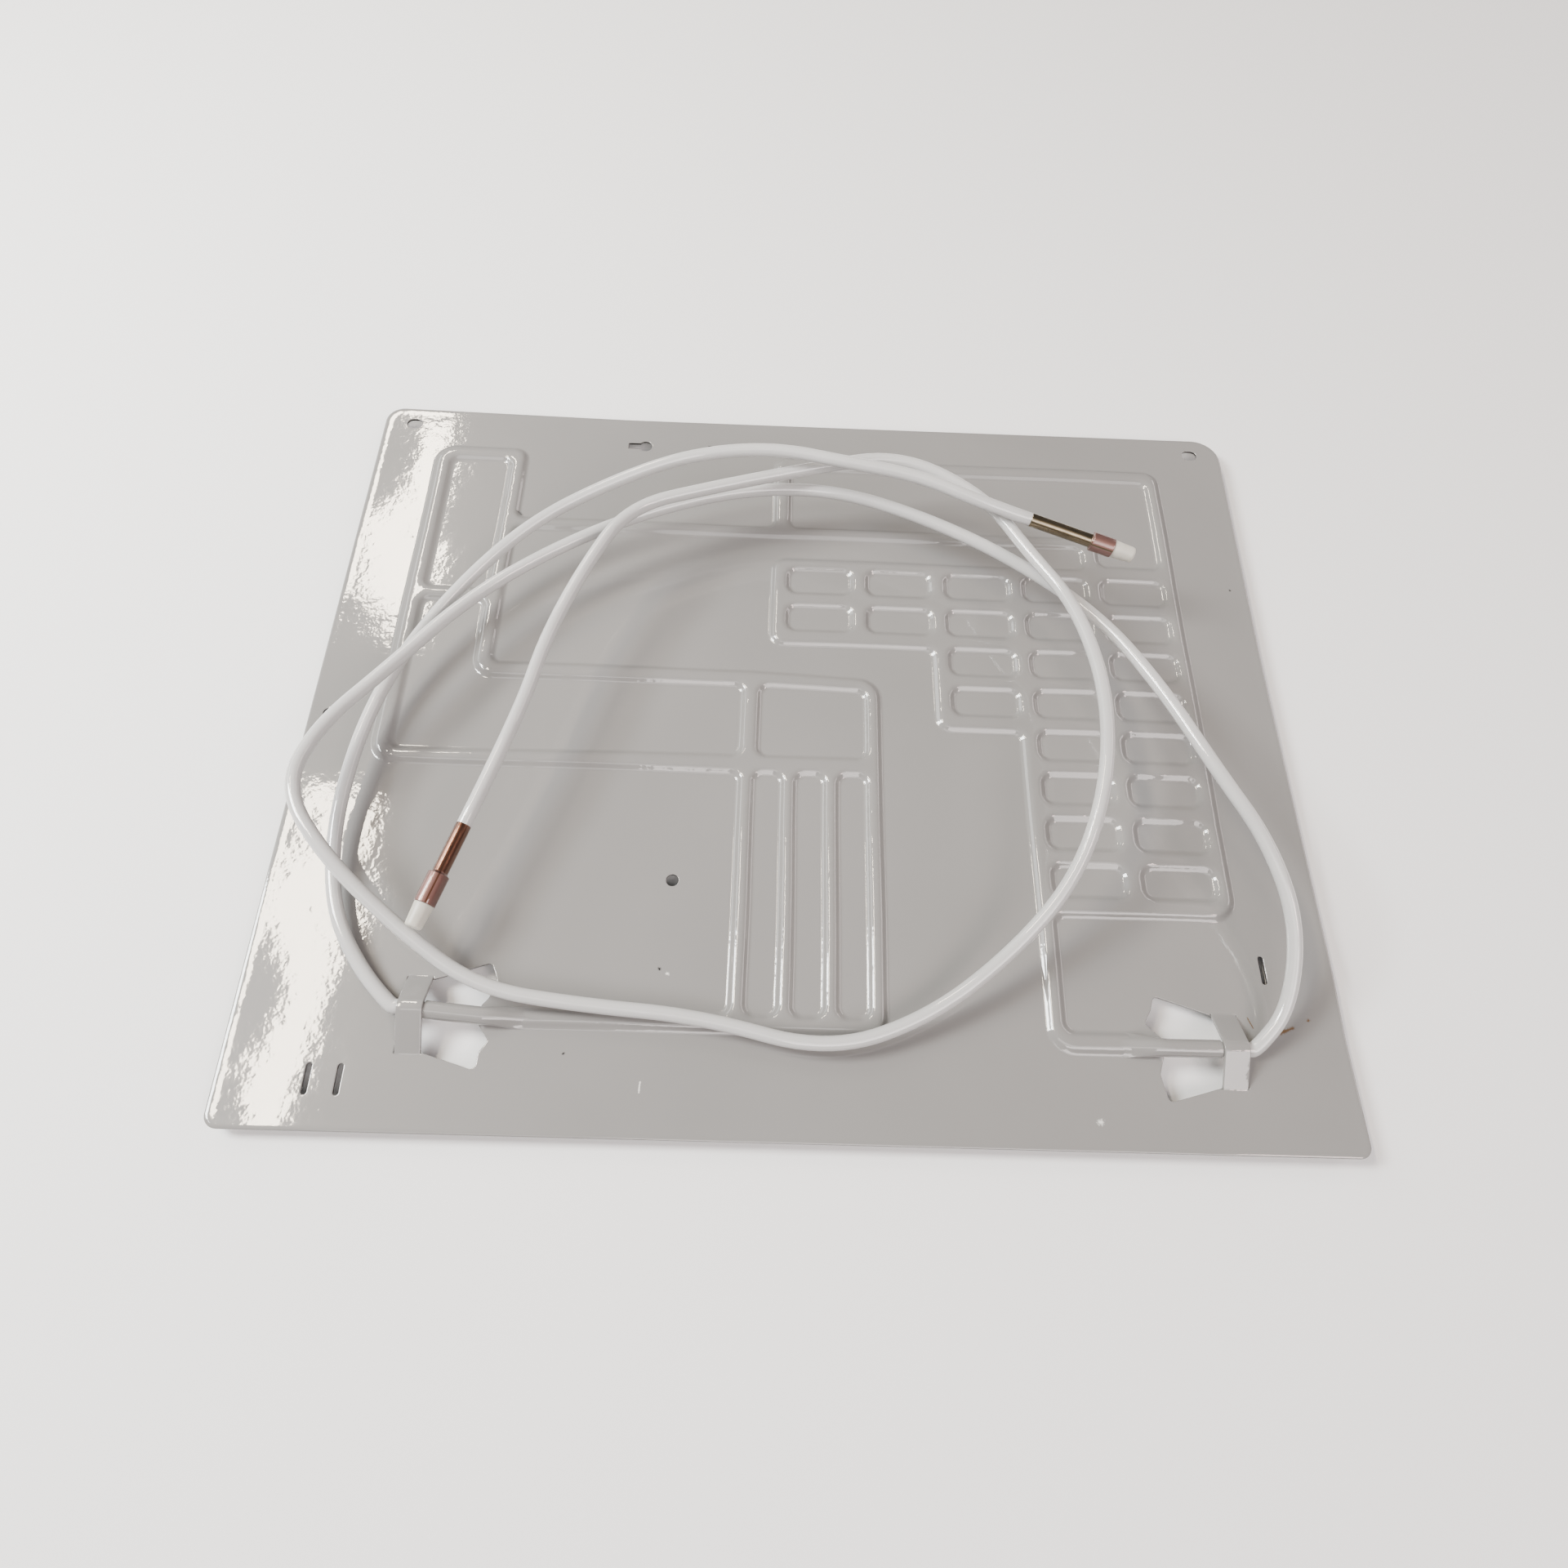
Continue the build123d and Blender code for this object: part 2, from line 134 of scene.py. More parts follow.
def enclosed(points, start, end):
    """Whether each point is inside the loops that some sides make up, from the sides' starts and ends:
    a ray to the point's right crosses the sides an odd number of times."""
    x, y = points[:, :1], points[:, 1:]
    side = end - start
    crosses = (start[:, 1] > y) != (end[:, 1] > y)
    height = np.where(side[:, 1] == 0, 1, side[:, 1])
    at = start[:, 0] + (y - start[:, 1]) * side[:, 0] / height
    return (crosses & (x < at)).sum(axis=1) % 2 == 1


def within(points, loop):
    """Whether each point is inside one loop."""
    return enclosed(points, loop, np.roll(loop, -1, axis=0))


def flat(border, holes, z, upwards=True, free=()):
    """Flat area inside the border and outside the holes, as the Delaunay triangles of their points and
    of free points between them. A triangle that faces the wrong way is turned over."""
    loops = [border, *holes]
    ends = np.cumsum([len(loop) for loop in loops])
    orders = [np.arange(end - len(loop), end) for loop, end in zip(loops, ends)]
    edges = np.concatenate([np.column_stack([order, np.roll(order, -1)]) for order in orders])
    points = [Vector(point) for point in [*np.concatenate(loops).tolist(), *free]]
    inside_edges, nearness = 1, 1e-6
    placed, _, triangles, *_ = delaunay_2d_cdt(points, edges.tolist(), [], inside_edges, nearness)
    placed, triangles = np.array([tuple(point) for point in placed]), np.array(triangles)
    middles = placed[triangles].mean(axis=1)
    kept = within(middles, border)
    for hole in holes:
        kept &= ~within(middles, hole)
    triangles = triangles[kept]
    a, b, c = (placed[triangles[:, index]] for index in range(3))
    area = (b - a)[:, 0] * (c - a)[:, 1] - (b - a)[:, 1] * (c - a)[:, 0]
    wrong = (area > 0) != upwards
    triangles[wrong] = triangles[wrong][:, ::-1]
    return np.column_stack([placed, np.full(len(placed), z)]), triangles


def made(name, patches, material, cad_node, uv=None):
    """Joins patches of (points in mm, faces) into one welded mesh, and puts it in its CAD node's place.
    Only edges that turn by more than 50 degrees look sharp."""
    starts = np.cumsum([0] + [len(points) for points, _ in patches])
    faces = [face for (_, own), start in zip(patches, starts) for face in (own + start).tolist()]
    mesh = bpy.data.meshes.new(name)
    mesh.from_pydata(np.concatenate([points for points, _ in patches]) * millimetre, [], faces)
    if uv is not None:
        layer = mesh.uv_layers.new(name="along_and_round")
        corners = np.empty(len(mesh.loops), int)
        mesh.loops.foreach_get("vertex_index", corners)
        layer.uv.foreach_set("vector", uv[corners].ravel())
    welded = bmesh.new()
    welded.from_mesh(mesh)
    bmesh.ops.remove_doubles(welded, verts=welded.verts, dist=2e-6)
    bmesh.ops.dissolve_degenerate(welded, edges=welded.edges, dist=1e-7)
    welded.to_mesh(mesh)
    welded.free()
    mesh.shade_smooth()
    mesh.set_sharp_from_angle(angle=np.radians(50))
    mesh.materials.append(material)
    piece = bpy.data.objects.new(name, mesh)
    bpy.context.scene.collection.objects.link(piece)
    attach(piece, "root")
    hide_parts(cad_node)


def wandering(loop):
    """The formed edges are not quite straight: slow sine waves move them by up to 0.25 mm."""
    x, y = loop.T
    along_x = 0.16 * np.sin(y / 17 + 1) + 0.09 * np.sin(x / 9 + y / 23)
    along_y = 0.16 * np.sin(x / 19) + 0.09 * np.sin(y / 11 - x / 21)
    return loop + np.column_stack([along_x, along_y])


def box(left, low, right, high, radius=tight):
    """Corners of an upright rectangle, counter-clockwise."""
    return [(left, low, radius), (right, low, radius), (right, high, radius), (left, high, radius)]


def cell_corner(column, row):
    """Left and top foot lines of one cell of the ladder."""
    return upper_x + main + column * cell_pitch_x, ladder_top_y - branch - row * cell_pitch_y


# The ladder goes down in steps at its left: their left and low feet. Then come the feet of the whole
# network as (x, y, corner radius), round its outside and round each island of bonded sheet inside it.
step_left = [cell_corner(first, 0)[0] - 2 * main for first in (0, 2, 3)]
step_low = [cell_corner(0, row)[1] - cell_width - ladder_margin for row in (1, 3, 7)]
link_left = cell_corner(3, 0)[0] + cell_length
last_column_left = cell_corner(column_count - 1, 0)[0]
ladder_right = last_column_left + cell_length
run_right = finger_right + 2 * branch
network = [
    (header_x - main, cross_low_y - branch, wide),
    (riser_x - main, cross_low_y - branch, tight),
    (riser_x - main, left_run_y + branch, tight),
    (left_root_x + taper_length, left_run_y + branch, wide),
    (left_root_x, left_run_y + root_half, tight),
    (left_root_x, left_run_y - root_half, tight),
    (left_root_x + taper_length, left_run_y - branch, wide),
    (run_right, left_run_y - branch, swept),
    (run_right, cross_high_y + main - cross_high_fall, wide),
    (riser_x, cross_high_y + main, wide),
    (arm_x + main, cross_high_y + main, tight),
    (arm_x + main, link_y - branch, tight),
    (link_left, link_y - branch, tight),
    (link_left, ladder_top_y + branch, tight),
    (step_left[0], ladder_top_y + branch, swept),
    (step_left[0], step_low[0], swept),
    (step_left[1], step_low[0], tight),
    (step_left[1], step_low[1], swept),
    (step_left[2], step_low[1], tight),
    (step_left[2], right_run_y - main, wide),
    (right_root_x - taper_length, right_run_y - main, wide),
    (right_root_x, right_run_y - root_half, tight),
    (right_root_x, right_run_y + root_half, tight),
    (right_root_x - taper_length, right_run_y + main, wide),
    (step_left[2] + 2 * branch, right_run_y + main, tight),
    (step_left[2] + 2 * branch, step_low[2], tight),
    (ladder_right + 2 * branch, step_low[2], wide),
    (ladder_right + 2 * branch, upper_top_y + main, swept),
    (upper_x - main, upper_top_y + main, swept),
    (upper_x - main, link_y + branch, tight),
    (arm_x + main, link_y + branch, tight),
    (arm_x + main, loop_top_y + main, swept),
    (header_x - main, loop_top_y + main, wide),
]
header_right, arm_left = header_x + main, arm_x - main
riser_left, riser_right = riser_x - main, riser_x + main
low_top, high_low = cross_low_y + branch, cross_high_y - main
islands = [
    box(header_right, divider_y + branch, arm_left, loop_top_y - main),
    [
        (header_right, low_top, tight),
        (riser_left, low_top + cross_low_gape, tight),
        (riser_left, high_low, tight),
        (arm_left, high_low, wide),
        (arm_left, divider_y - branch, tight),
        (header_right, divider_y - branch, tight),
    ],
    [
        (riser_right, low_top + cross_low_gape, tight),
        (finger_right, low_top + cross_low_gape, tight),
        (finger_right, high_low - cross_high_fall / 2, tight),
        (riser_right, high_low, tight),
    ],
    [
        (last_column_left, corner_island_low, tight),
        (ladder_right, corner_island_low, tight),
        (ladder_right, upper_top_y - main, tight),
        (upper_x + main, upper_top_y - main, tight),
        (upper_x + main, link_y + branch, tight),
        (last_column_left, link_y + branch, tight),
    ],
]
for finger in range(finger_count):
    right = finger_right - finger * finger_pitch
    islands.append(box(right - finger_width, left_run_y + branch, right, cross_low_y - branch))
for row, first_column in enumerate(first_column_of_row):
    for column in range(first_column, column_count):
        left, top = cell_corner(column, row)
        islands.append(box(left, top - cell_width, left + cell_length, top))

border = rounded([
    (-half_x, -half_y, 5.5), (half_x, -half_y, 5), (223.9, -138, 60), (224.6, -112, 60), (223.3, 40, 900),
    (half_x, half_y, 14), (50, 184.0, 900), (-95, 183.2, 900), (-half_x, half_y, 9),
])
# Each window is torn open beside its nozzle, and runs on under its strap, where the corners are square.
left_window = [
    (-158, -155.3, 0.3), (-147.5, -155.3, 0.1), (-147.5, -154.65, 0.1), (-125.6, -161, 2), (-125.2, -154, 3),
    (-122, -149.5, 2), (-126.5, -143.5, 1), (-126.5, -135.5, 1), (-124.2, -132.5, 3), (-121.8, -125.2, 3),
    (-125, -118, 2), (-147.5, -125.7, 0.1), (-147.5, -124.5, 0.1), (-158, -124.5, 0.3),
]
right_window = [
    (147.5, -166, 2), (169.7, -159.6, 0.1), (169.7, -160, 0.1), (180.2, -160, 0.3), (180.2, -130.5, 0.3),
    (169.7, -130.5, 0.1), (169.7, -131, 0.1), (146.8, -123.6, 2), (145, -129.5, 3), (141.7, -135, 2),
    (147.5, -140.8, 1), (147.5, -148.5, 1), (145.5, -155, 3),
]
# Holes for fixing: two round ones, one in each far corner, three narrow slots, and three keyholes.
keyhole_y, keyhole_neck, keyhole_head = 164.8, 2.0, 3.3


def slot_hole(x, y, half_width, half_length):
    """Corners of a hole with round ends: their radius is just under its smaller half width."""
    radius = min(half_width, half_length) - 0.01
    return box(x - half_width, y - half_length, x + half_width, y + half_length, radius)


def keyhole(x):
    """Corners of a keyhole: a narrow neck at the left runs into a round head at the right."""
    low_side = [(x - 9, -keyhole_neck, 0.5), (x - 2.9, -keyhole_neck, 0.2), (x - 1.4, -keyhole_head, 1.6),
                (x + keyhole_head, -keyhole_head, 3.2)]
    high_side = [(along, -across, radius) for along, across, radius in low_side[::-1]]
    return [(along, keyhole_y + across, radius) for along, across, radius in low_side + high_side]


hole_corners = [slot_hole(-54.1, -79.7, 2.65, 2.65), slot_hole(-216, -4, 2.5, 2.5)]
hole_corners += [slot_hole(x, 174.2, 4, 3.1) for x in (-209.1, 208.3)]
hole_corners += [slot_hole(x, y, 1.1, 6) for x, y in ((-189.4, -165.7), (-177.2, -165.7), (194.7, -111.3))]
hole_corners += [keyhole(x) for x in (-85.3, -43.2, -18.0)]
openings = [rounded(corners, 6, 4) for corners in [left_window, right_window, *hole_corners]]

# The sheet is drawn up round each nozzle's root, and rings of points there give it the triangles to bend.
nozzle_roots = np.array([(-124.5, -140.2), (146.5, -144.6)])
curl_height, curl_reach = 1.7, 5.0
turn = np.linspace(0, 2 * np.pi, 28, endpoint=False)
rings = np.arange(1.5, 14, 1.5)[:, None, None] * np.stack([np.cos(turn), np.sin(turn)], axis=-1)
root_points = (nozzle_roots[:, None, None] + rings).reshape(-1, 2).tolist()


def curled(patch):
    """The sheet is drawn up where a nozzle leaves it: each point is raised by a bell curve of its
    distance from the nearest nozzle's root."""
    points, faces = patch
    away = np.linalg.norm(points[:, None, :2] - nozzle_roots, axis=-1).min(axis=1)
    raised = points.copy()
    raised[:, 2] += curl_height * np.exp(-(away / curl_reach) ** 2)
    return raised, faces


def skin_height(distance):
    """Height of a passage's skin over the sheet, by the distance in from its foot: half a cosine wave
    that ends level at the crown."""
    return rise * (1 - np.cos(np.pi * np.clip(distance / crown, 0, 1))) / 2


def from_feet(points, loops):
    """Distance of each point from the nearest of the loops' sides, and whether it is inside them.

    The nearest point of a side is its start plus the share of the side that the point lies along,
    which is held between 0 and 1. The points are taken a thousand or so at a time, to spare memory.
    """
    start = np.concatenate(loops)
    end = np.concatenate([np.roll(loop, -1, axis=0) for loop in loops])
    side = end - start
    distances, inside = [], []
    for some in np.array_split(points, max(1, len(points) // 1500)):
        away = some[:, None] - start
        along = np.clip((away * side).sum(axis=-1) / (side**2).sum(axis=-1), 0, 1)
        distances.append(np.linalg.norm(away - along[..., None] * side, axis=-1).min(axis=1))
        inside.append(enclosed(some, start, end))
    return np.concatenate(distances), np.concatenate(inside)


# Strips along the edges, as (distance in, height): the passages' shoulders, the rim with its fallen
# back edge and the low ridge behind it, and the cut edge of an opening with its small lips.
apron, rim_depth, back_inset, lip = 0.25, 4.8, 1.2, 0.5
shoulder = [(-apron, face_z)]
shoulder += [(inward, face_z + skin_height(inward)) for inward in np.linspace(0, slope, 11)]
rim = [(back_inset, 0), (0.3, 0), (0.08, 0.08), (0, 0.3), (0, 1.0), (0.06, 1.17), (0.2, 1.3), (0.45, 1.39),
       (0.9, 1.45), (1.6, 1.47), (2.4, 1.46), (3.2, 1.43), (4.0, 1.408), (rim_depth, face_z)]
cut_edge = [(-lip, face_z), (-0.3, face_z), (-0.08, 1.3), (0, 1.1), (0, 0.3), (-0.1, 0.1), (-0.3, 0),
            (-lip, 0)]

outer_foot = wandering(rounded(network))
island_feet = [wandering(rounded(corners)) for corners in islands]
feet = [outer_foot, *island_feet]
lips = [moved_in(loop, -lip) for loop in openings]
plate_patches = [
    banded(border, rim),
    flat(moved_in(border, rim_depth), [moved_in(outer_foot, -apron), *lips], face_z, free=root_points),
    flat(moved_in(border, back_inset), lips, 0, upwards=False, free=root_points),
    banded(outer_foot, shoulder),
]

# Between its shoulders the skin is laid over a lattice of points, with every second row moved over.
lattice_x, lattice_y, shoulder_gap = 1.5, 1.3, 0.4
(low_x, low_y), (high_x, high_y) = outer_foot.min(axis=0), outer_foot.max(axis=0)
across, up = np.meshgrid(np.arange(low_x, high_x, lattice_x), np.arange(low_y, high_y, lattice_y))
across[1::2] += lattice_x / 2
lattice = np.column_stack([across.ravel(), up.ravel()])
distance, inside = from_feet(lattice, feet)
crests = lattice[inside & (distance > slope + shoulder_gap)]
skin_points, skin_faces = flat(moved_in(outer_foot, slope), [moved_in(foot, -slope) for foot in island_feet],
                               face_z, free=crests.tolist())
# Points on a shoulder's edge get just the height that it has there, so that skin and shoulder weld.
distance, _ = from_feet(skin_points[:, :2], feet)
distance[np.abs(distance - slope) < 0.1] = slope
skin_points[:, 2] += skin_height(distance)
plate_patches.append((skin_points, skin_faces))
plate_patches += [banded(loop, cut_edge) for loop in openings]
plate_patches += [banded(foot, [(-inward, z) for inward, z in shoulder[::-1]]) for foot in island_feet]
plate_patches += [flat(moved_in(foot, apron), [], face_z) for foot in island_feet]
plate_patches = [curled(patch) for patch in plate_patches]


def place(tree, kind, sockets=(), **settings):
    """Puts a node into a tree, with its settings, and each named socket set or linked."""
    node = tree.nodes.new(kind)
    for name, value in settings.items():
        setattr(node, name, value)
    for name, value in dict(sockets).items():
        if isinstance(value, bpy.types.NodeSocket):
            tree.links.new(value, node.inputs[name])
        else:
            node.inputs[name].default_value = value
    return node


def effect(name, inputs, outputs):
    """Shader node group with named sockets, as (group, its input node, its output node)."""
    group = bpy.data.node_groups.new(name, "ShaderNodeTree")
    for socket, kind, value in inputs:
        made_socket = group.interface.new_socket(socket, in_out="INPUT", socket_type=kind)
        if value is not None:
            made_socket.default_value = value
    for socket, kind in outputs:
        group.interface.new_socket(socket, in_out="OUTPUT", socket_type=kind)
    return group, place(group, "NodeGroupInput"), place(group, "NodeGroupOutput")


def noise(tree, where, scale, detail=1.0):
    """Soft noise over a place, from 0 to 1."""
    return place(tree, "ShaderNodeTexNoise", {"Vector": where, "Scale": scale, "Detail": detail}).outputs[0]


def number(tree, operation, *values, **settings):
    """Result of a Math node on its values."""
    return place(tree, "ShaderNodeMath", enumerate(values), operation=operation, **settings).outputs[0]


def vector(tree, operation, *values):
    """Result of a Vector Math node: a number for a dot product or a distance, or else a vector."""
    node = place(tree, "ShaderNodeVectorMath", enumerate(values), operation=operation)
    return node.outputs["Value" if operation in ("DOT_PRODUCT", "DISTANCE") else "Vector"]


def ramp(tree, value, low, high, to_low=0.0, to_high=1.0, **settings):
    """Number that goes from one limit to the other while the value goes from low to high."""
    ends = {"From Min": low, "From Max": high, "To Min": to_low, "To Max": to_high}
    return place(tree, "ShaderNodeMapRange", {"Value": value, **ends}, **settings).outputs[0]


def blended(tree, share, first, second):
    """Colour that goes from the first to the second while the share goes from 0 to 1."""
    mix = place(tree, "ShaderNodeMix", {"Factor": share, "A": first, "B": second}, data_type="RGBA")
    return mix.outputs["Result"]


def bumped(tree, shader, height, distance, strength=1.0):
    """Feeds a height to the shader's Normal, as a bump."""
    bump = place(tree, "ShaderNodeBump", {"Strength": strength, "Distance": distance, "Height": height})
    tree.links.new(bump.outputs["Normal"], shader.inputs["Normal"])


orange_peel, entry, result = effect(
    "orange_peel",
    [("Place", "NodeSocketVector", None), ("Peel", "NodeSocketFloat", 0.01),
     ("Ripple", "NodeSocketFloat", 0.04), ("Wave", "NodeSocketFloat", 0.0)],
    [("Millimetres", "NodeSocketFloat")],
)
height = 0.0
for scale, amount in ((430.0, "Peel"), (110.0, "Ripple"), (13.0, "Wave")):
    swell = noise(orange_peel, entry.outputs["Place"], scale)
    height = number(orange_peel, "MULTIPLY_ADD", swell, entry.outputs[amount], height)
orange_peel.links.new(height, result.inputs["Millimetres"])

# A mark on the paint: its mask falls from 1 on the line between two points to 0 at a ragged width.
stroke, entry, result = effect(
    "stroke",
    [("Place", "NodeSocketVector", None), ("From", "NodeSocketVector", None),
     ("To", "NodeSocketVector", None), ("Width", "NodeSocketFloat", 0.001)],
    [("Mask", "NodeSocketFloat")],
)
level = vector(stroke, "MULTIPLY", entry.outputs["Place"], (1, 1, 0))
reach = vector(stroke, "SUBTRACT", level, entry.outputs["From"])
run = vector(stroke, "SUBTRACT", entry.outputs["To"], entry.outputs["From"])
shadowed, square = vector(stroke, "DOT_PRODUCT", reach, run), vector(stroke, "DOT_PRODUCT", run, run)
share_of_run = number(stroke, "DIVIDE", shadowed, square, use_clamp=True)
nearest = vector(stroke, "MULTIPLY_ADD", run, share_of_run, entry.outputs["From"])
away = vector(stroke, "DISTANCE", level, nearest)
width = number(stroke, "MULTIPLY", noise(stroke, entry.outputs["Place"], 1400.0), entry.outputs["Width"])
stroke.links.new(ramp(stroke, away, width, 0.0, interpolation_type="SMOOTHSTEP"), result.inputs["Mask"])


def finish_of(name, constants):
    """New material with its tree, its shader, which has these constants, and its Object coordinates."""
    material = bpy.data.materials.new(name)
    material.use_nodes = True
    tree = material.node_tree
    shader = tree.nodes["Principled BSDF"]
    for socket, value in constants.items():
        shader.inputs[socket].default_value = value
    return material, tree, shader, place(tree, "ShaderNodeTexCoord").outputs["Object"]


def paint(name, roughness, ior, cloud_scale, dark, light, peel_amounts):
    """Glossy paint with a little dull haze over it: cloudy between two tones, with an orange peel."""
    material, tree, shader, where = finish_of(
        name, {"Roughness": roughness, "IOR": ior, "Coat Weight": 0.15, "Coat Roughness": 0.3})
    colour = blended(tree, noise(tree, where, cloud_scale, 3.0), dark, light)
    tree.links.new(colour, shader.inputs["Base Color"])
    peel = place(tree, "ShaderNodeGroup", {"Place": where, **peel_amounts}, node_tree=orange_peel)
    bumped(tree, shader, peel.outputs["Millimetres"], millimetre)
    return material, tree, shader, where, colour


plate_paint, tree, shader, where, colour = paint(
    "grey_plate_paint", 0.05, 1.65, 9.0, (0.216, 0.211, 0.204, 1), (0.260, 0.252, 0.244, 1),
    {"Peel": 0.027, "Ripple": 0.06, "Wave": 1.25})

# Small chips, scratches, pale dabs and spots of glue or rust, as (from, to, width, colour), and one dark
# dab that is painted shade in a small dent; then the cut edges.
black, dent_shade = (0.01, 0.01, 0.01, 1), (0.10, 0.10, 0.10, 1)
brown, pale_dab = (0.13, 0.075, 0.035, 1), (0.75, 0.74, 0.70, 1)
marks = [
    ((-56.8, -118.3), (-56.6, -118.6), 1.8, black), ((-53.4, -120.2), (-53.2, -120.4), 2.0, pale_dab),
    ((119, -174), (119.2, -173.9), 3.4, pale_dab), ((-91.9, -153.6), (-91.7, -153.5), 1.5, black),
    ((215, 84.7), (215.1, 84.6), 1.6, black), ((-61, -167.6), (-60.8, -163.6), 1.0, pale_dab),
    ((191.2, -139.8), (202.7, -135.1), 2.1, brown), ((192, -137.9), (199.5, -136.2), 1.6, brown),
    ((209.6, -132), (210, -131.7), 1.9, brown), ((184.6, -131.5), (186.2, -135.6), 0.9, brown),
    # The second dab on the next line is painted shade, where the sheet has a small dent.
    ((-23, 163.4), (-14, 164.6), 1.4, brown), ((-145.9, 116.4), (-144.6, 115.2), 2.4, dent_shade),
]
for start, end, size, shade in marks:
    dab = place(tree, "ShaderNodeGroup", {
        "Place": where, "Width": size * millimetre,
        "From": (start[0] * millimetre, start[1] * millimetre, 0),
        "To": (end[0] * millimetre, end[1] * millimetre, 0)}, node_tree=stroke)
    colour = blended(tree, dab.outputs["Mask"], colour, shade)
# Everything between 0.1 and 1.3 mm over the back, mostly the cut edges, is painted nearly black: painted
# shade that makes the holes and windows look deep, over bare metal that is a little dirty.
height = place(tree, "ShaderNodeSeparateXYZ", {"Vector": where}).outputs["Z"]
off_back = ramp(tree, height, 0.1 * millimetre, 0.2 * millimetre)
off_face = ramp(tree, height, 1.3 * millimetre, 1.1 * millimetre)
painted_edge_shade = number(tree, "MULTIPLY", off_back, off_face)
tree.links.new(blended(tree, painted_edge_shade, colour, (0.035, 0.034, 0.033, 1)), shader.inputs["Base Color"])

# Nozzles: at each window a passage narrows into a round nozzle, formed from the same two sheets, that
# grips the tube pushed into it.
tube_radius, tube_z = 3.0, 4.6
nozzle_radius, nozzle_bore, nozzle_round, nozzle_sides = 3.65, 3.05, 0.12, 48
# The loft starts a little inside the passage's feet and a hair over its skin, and its belly is sunk.
throat_inset, throat_lift, throat_belly = 0.45, 0.04, 0.5


def nozzle(throat, root, mouth, passage_half):
    """Pipe whose section turns from the passage's into a circle between the throat and the root.

    Every section has the same share of its points over and under its sides. Over the throat they lie
    on the passage's own shoulders, a hair above them. A smooth step moves each point to the circle's,
    which is straight from the root to the mouth. At the mouth it turns in and goes back down the bore.
    """
    along = np.concatenate([np.linspace(0, 1, 25), np.linspace(1, 2, 7)[1:], [2.0, 2.0, 2.0, 1.9, 1.6]])
    first, second = np.clip(along, 0, 1)[:, None], np.clip(along - 1, 0, 1)[:, None]
    grow = first * first * (3 - 2 * first)
    throat, root, mouth = (np.array(point) for point in (throat, root, mouth))
    middle = throat + (root - throat) * first + (mouth - root) * second
    heading = unit(mouth - root)
    across = np.array([-heading[1], heading[0]])
    turn = np.linspace(0, 2 * np.pi, nozzle_sides, endpoint=False)
    half = passage_half - throat_inset
    low_half = half * np.cos(turn)
    arch = face_z + skin_height(half - np.abs(low_half)) + throat_lift
    low_z = np.where(np.sin(turn) > 0.01, arch, face_z - throat_belly * np.abs(np.sin(turn)))
    radius = np.full((len(along), 1), float(nozzle_radius))
    radius[-4:, 0] = [nozzle_radius - nozzle_round, nozzle_bore + nozzle_round, nozzle_bore, nozzle_bore]
    sideways = low_half * (1 - grow) + radius * np.cos(turn) * grow
    points = np.empty((len(along), nozzle_sides, 3))
    points[..., :2] = middle[:, None] + across * sideways[..., None]
    points[..., 2] = low_z * (1 - grow) + (tube_z + radius * np.sin(turn)) * grow
    return points.reshape(-1, 3), grid_faces(len(along), nozzle_sides)[:, ::-1]


plate_patches += [
    nozzle((-106.5, left_run_y), (-125, -140.4), (-147.47, -138.61), branch),
    nozzle((129.5, right_run_y), (147.5, -145.2), (169.5, -145.14), main),
]

# Straps: each is lanced out of the plate on its long sides and bent up over the tube beside the nozzle,
# so both ends are still the plate's own sheet.
strap_width, strap_gauge, strap_gap = 10.2, 1.4, 0.35
# The small bend at a foot, as (distance towards the tube, height over the plate's face).
foot_bend = np.array([(-0.9, -0.03), (-0.35, 0.03), (0.25, 0.3)])


def strap(left, near, far, axis_y):
    """Sheet band over the tube: a path up, round and down, with a rounded rectangle carried along it.

    The outer path leaves the plate at the near end, goes straight to the arc over the tube that it
    is tangent to, and straight down to the far end, with a small bend at each foot. No point goes
    down as far as the plate's back.
    """
    reach = tube_radius + strap_gap + strap_gauge

    def tangent(foot):
        """Angle on the arc where the straight run from a foot touches it."""
        y, z = foot - axis_y, face_z - tube_z
        return np.arctan2(z, y) + np.sign(y) * np.arccos(reach / np.hypot(y, z))

    start, end = tangent(near), tangent(far)
    start = start if start > 0 else start + 2 * np.pi
    arc = np.linspace(start, end, 17)
    top = np.column_stack([axis_y + reach * np.cos(arc), tube_z + reach * np.sin(arc)])
    feet = (near, face_z) + foot_bend
    toes = (far, face_z) + (foot_bend * (-1, 1))[::-1]
    share = np.linspace(0, 1, 6)[1:-1, None]
    path = np.concatenate([feet, feet[-1] * (1 - share) + top[0] * share, top,
                           top[-1] * (1 - share) + toes[0] * share, toes])
    heading = unit(np.gradient(path, axis=0))
    outward = np.column_stack([-heading[:, 1], heading[:, 0]])
    section = rounded([(0, -strap_gauge, 0.25), (strap_width, -strap_gauge, 0.25),
                       (strap_width, 0, 0.35), (0, 0, 0.35)], 5, 3)
    points = np.empty((len(path), len(section), 3))
    points[..., 0] = left + section[:, 0]
    points[..., 1] = path[:, None, 0] + outward[:, None, 0] * section[:, 1]
    points[..., 2] = np.maximum(path[:, None, 1] + outward[:, None, 1] * section[:, 1], 0.05)
    return points.reshape(-1, 3), grid_faces(len(path), len(section))[:, ::-1]


plate_patches += [strap(-157.7, -155.3, -124.5, -138.2), strap(169.7, -160.0, -130.5, -145.1)]
made("painted_plate", plate_patches, plate_paint, "evaporator_plate")

